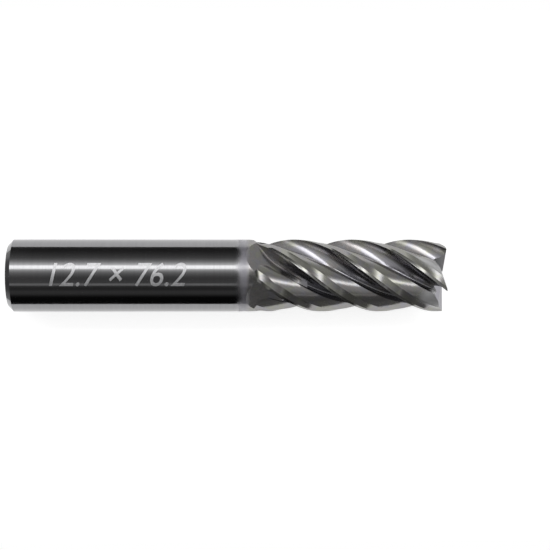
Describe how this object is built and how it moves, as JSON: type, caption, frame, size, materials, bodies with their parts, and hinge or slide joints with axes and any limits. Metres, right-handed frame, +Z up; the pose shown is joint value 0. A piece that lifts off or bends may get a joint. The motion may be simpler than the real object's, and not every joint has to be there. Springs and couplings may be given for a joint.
{
  "type": "end mill",
  "caption": "Square-end milling cutter with right-hand helical flutes, a plain ground shank and a coolant duct along its axis.",
  "frame": {"origin": "centre of the shank's back face, on the tool axis", "axes": "+X along the tool axis towards the cutting tip, +Z up with the tool lying level, +Y to the side"},
  "size_m": [0.0762, 0.0126, 0.0126],
  "materials": {
    "ground_carbide": "fine ground and bright, with faint circumferential grinding lines",
    "coated_carbide": "thin hard coating, lavender grey, semi-bright over ground flutes"
  },
  "bodies": {
    "root": {"shank": "ground_carbide", "fluted_end": "coated_carbide"}
  },
  "joints": []
}
